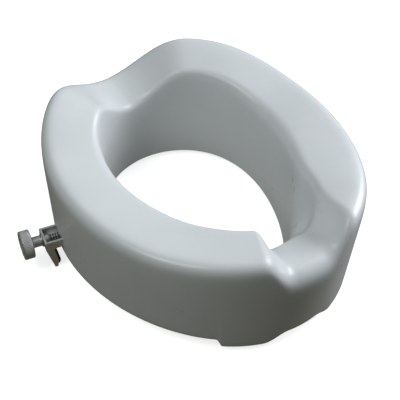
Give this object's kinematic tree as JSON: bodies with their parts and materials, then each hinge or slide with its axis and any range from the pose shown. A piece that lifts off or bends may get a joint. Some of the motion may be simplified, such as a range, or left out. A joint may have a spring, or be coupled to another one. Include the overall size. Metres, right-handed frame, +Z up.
{
  "type": "raised toilet seat",
  "caption": "Raised toilet seat: egg-shaped moulded riser with a front notch and rear dip, and a sliding screw clamp on each side.",
  "frame": {"origin": "on the middle plane, under the middle of the length, at the height of the claw tips, which are the lowest points", "axes": "+Z up, front of the seat towards -Y, +X to the seat's right as seen from the front, across both clamps"},
  "size_m": [0.4366, 0.414, 0.1494],
  "materials": {
    "seat_plastic": "pale grey-white moulded polypropylene, satin, very fine grain",
    "clamp_metal": "satin cast aluminium alloy, lightly brushed",
    "cap_plastic": "pale grey moulded plastic, satin",
    "pad_rubber": "matt black rubber",
    "steel": "zinc-plated steel",
    "brass": "plain turned brass"
  },
  "bodies": {
    "seat": {"seat_shell": "seat_plastic", "base_plate": "seat_plastic", "plate_screw_1": "steel", "plate_screw_2": "steel", "plate_screw_3": "steel", "plate_screw_4": "steel", "plate_screw_5": "steel", "plate_screw_6": "steel", "rim_pad_1": "pad_rubber", "rim_pad_2": "pad_rubber", "rim_pad_3": "pad_rubber", "rim_pad_4": "pad_rubber", "clamp_nut_left": "brass", "nut_cover_left": "seat_plastic", "clamp_nut_right": "brass", "nut_cover_right": "seat_plastic", "cover_screw_left_1": "steel", "cover_screw_left_2": "steel", "cover_screw_right_1": "steel", "cover_screw_right_2": "steel"},
    "bracket_left": {"clamp_bracket_left": "clamp_metal", "claw_pad_left": "pad_rubber"},
    "screw_left": {"knob_left": "clamp_metal", "knob_cap_left": "cap_plastic", "clamp_screw_left": "steel", "thrust_washer_left": "steel", "screw_collar_left": "steel"},
    "bracket_right": {"clamp_bracket_right": "clamp_metal", "claw_pad_right": "pad_rubber"},
    "screw_right": {"knob_right": "clamp_metal", "knob_cap_right": "cap_plastic", "clamp_screw_right": "steel", "thrust_washer_right": "steel", "screw_collar_right": "steel"}
  },
  "joints": [
    {"name": "clamp_slide_left", "type": "slide", "parent": "seat", "child": "bracket_left", "axis": [0.9877, -0.1564, 0], "range_m": [-0.021, 0.0045]},
    {"name": "knob_turn_left", "type": "hinge", "parent": "bracket_left", "child": "screw_left", "pos_m": [-0.2097, 0.051, 0.037], "axis": [0.9877, -0.1564, 0], "range_deg": [-2521, 541]},
    {"name": "clamp_slide_right", "type": "slide", "parent": "seat", "child": "bracket_right", "axis": [-0.9877, -0.1564, 0], "range_m": [-0.021, 0.0045]},
    {"name": "knob_turn_right", "type": "hinge", "parent": "bracket_right", "child": "screw_right", "pos_m": [0.2097, 0.051, 0.037], "axis": [-0.9877, -0.1564, 0], "range_deg": [-2521, 541]}
  ],
  "couplings": [
    {"joint": "knob_turn_left", "follows": "clamp_slide_left", "rad_per_m": 2094.4},
    {"joint": "knob_turn_right", "follows": "clamp_slide_right", "rad_per_m": 2094.4}
  ]
}
